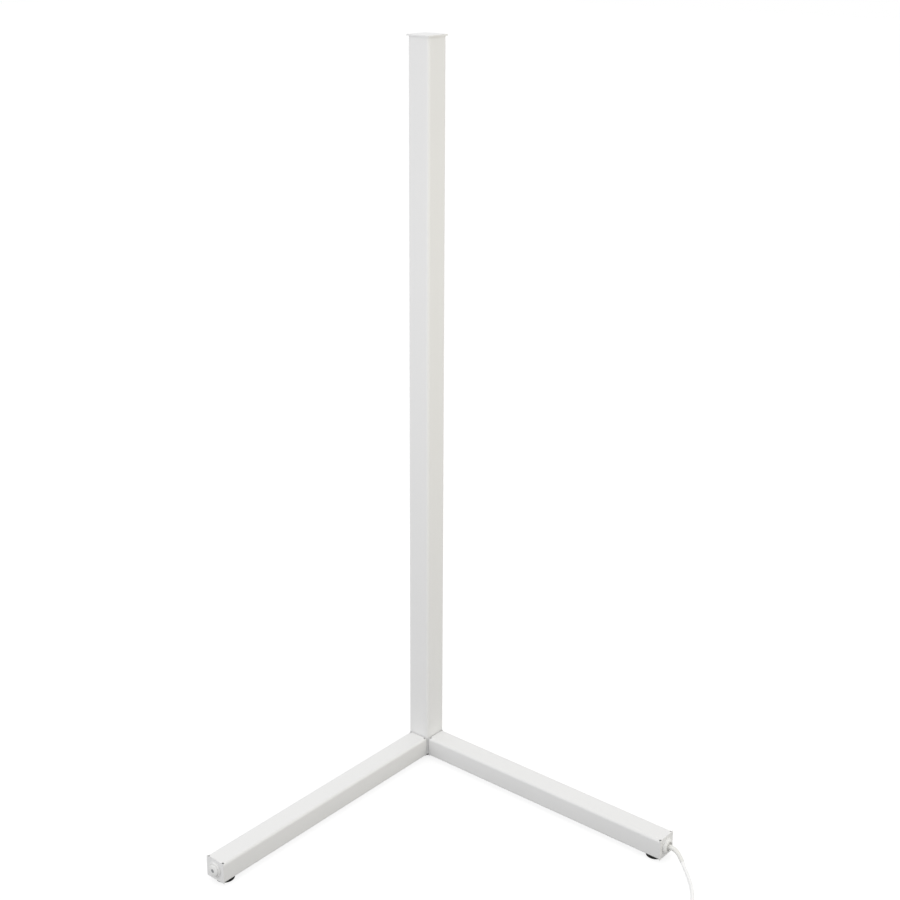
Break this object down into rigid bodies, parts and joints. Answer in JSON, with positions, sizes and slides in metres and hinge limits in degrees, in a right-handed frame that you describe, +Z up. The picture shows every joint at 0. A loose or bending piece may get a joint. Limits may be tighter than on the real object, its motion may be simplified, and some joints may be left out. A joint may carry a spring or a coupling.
{
  "type": "corner floor lamp",
  "caption": "Slim square post lamp on two flat legs at a right angle, lit along the edge that faces a room's corner, with a push switch on one leg's end and a mains cable from the other.",
  "frame": {"origin": "on the floor, at the middle of the rear foot under the post's axis", "axes": "+Z up along the post; +X along the right leg, which has the cable; -Y along the left leg, which has the switch; the room's corner is towards -X and +Y"},
  "size_m": [0.7396, 0.59, 1.398],
  "materials": {
    "white_paint": "satin white powder coat with a very fine texture",
    "white_paint_screw": "screw heads painted with the cap",
    "opal_cover": "opal extruded acrylic, satin",
    "white_plastic": "moulded white plastic, fine spark-eroded grain",
    "strip_board": "white flexible circuit board",
    "light_source": "yellow phosphor gel in a white package",
    "black_plastic": "moulded black plastic",
    "black_rubber": "matt black rubber",
    "zinc_steel": "zinc-plated steel",
    "zinc_sheet": "galvanised steel sheet",
    "grey_lens": "grey translucent plastic",
    "spring_steel": "drawn spring wire",
    "driver_case": "moulded pale grey plastic",
    "white_cable_jacket": "smooth white flexible jacket, slight sheen",
    "grey_tie": "woven hook and loop strap",
    "white_plug": "moulded white plastic",
    "plated_pins": "nickel-plated brass"
  },
  "bodies": {
    "lamp": {"post_profile": "white_paint", "right_leg_shell": "white_paint", "left_leg_shell": "white_paint", "top_cap": "white_paint", "top_cap_screws": "white_paint_screw", "diffuser": "opal_cover", "access_cover": "white_plastic", "led_strip": "strip_board", "led_chips": "light_source", "post_foot_block": "black_plastic", "foot_block_screws": "zinc_steel", "base_plate_screws": "zinc_steel", "leg_bolts": "zinc_steel", "leg_nuts": "zinc_steel", "right_base_plate": "zinc_sheet", "left_base_plate": "zinc_sheet", "rear_foot": "black_rubber", "right_foot": "black_rubber", "left_foot": "black_rubber", "leg_gaskets": "black_rubber", "cable_gland": "white_plastic", "gland_nut": "white_plastic", "strain_relief": "white_cable_jacket", "switch_housing": "white_plastic", "switch_ring_nut": "white_plastic", "button_spring": "spring_steel", "led_driver": "driver_case", "wire_connector": "driver_case", "mains_lead": "white_cable_jacket", "driver_lead": "white_cable_jacket", "switch_lead": "white_cable_jacket", "strip_lead": "white_cable_jacket", "cord_free": "white_cable_jacket", "cord_coil": "white_cable_jacket", "cord_tail": "white_cable_jacket", "coil_tie": "grey_tie", "plug_body": "white_plug", "plug_pins": "plated_pins"},
    "button": {"button_cap": "white_plastic", "button_lens": "grey_lens"}
  },
  "joints": [
    {"name": "button_press", "type": "slide", "parent": "lamp", "child": "button", "axis": [0, 1, 0], "range_m": [0, 0.0025], "stiffness_N_per_m": 1500, "springref_m": -0.001, "deforming": ["button_spring"]}
  ]
}
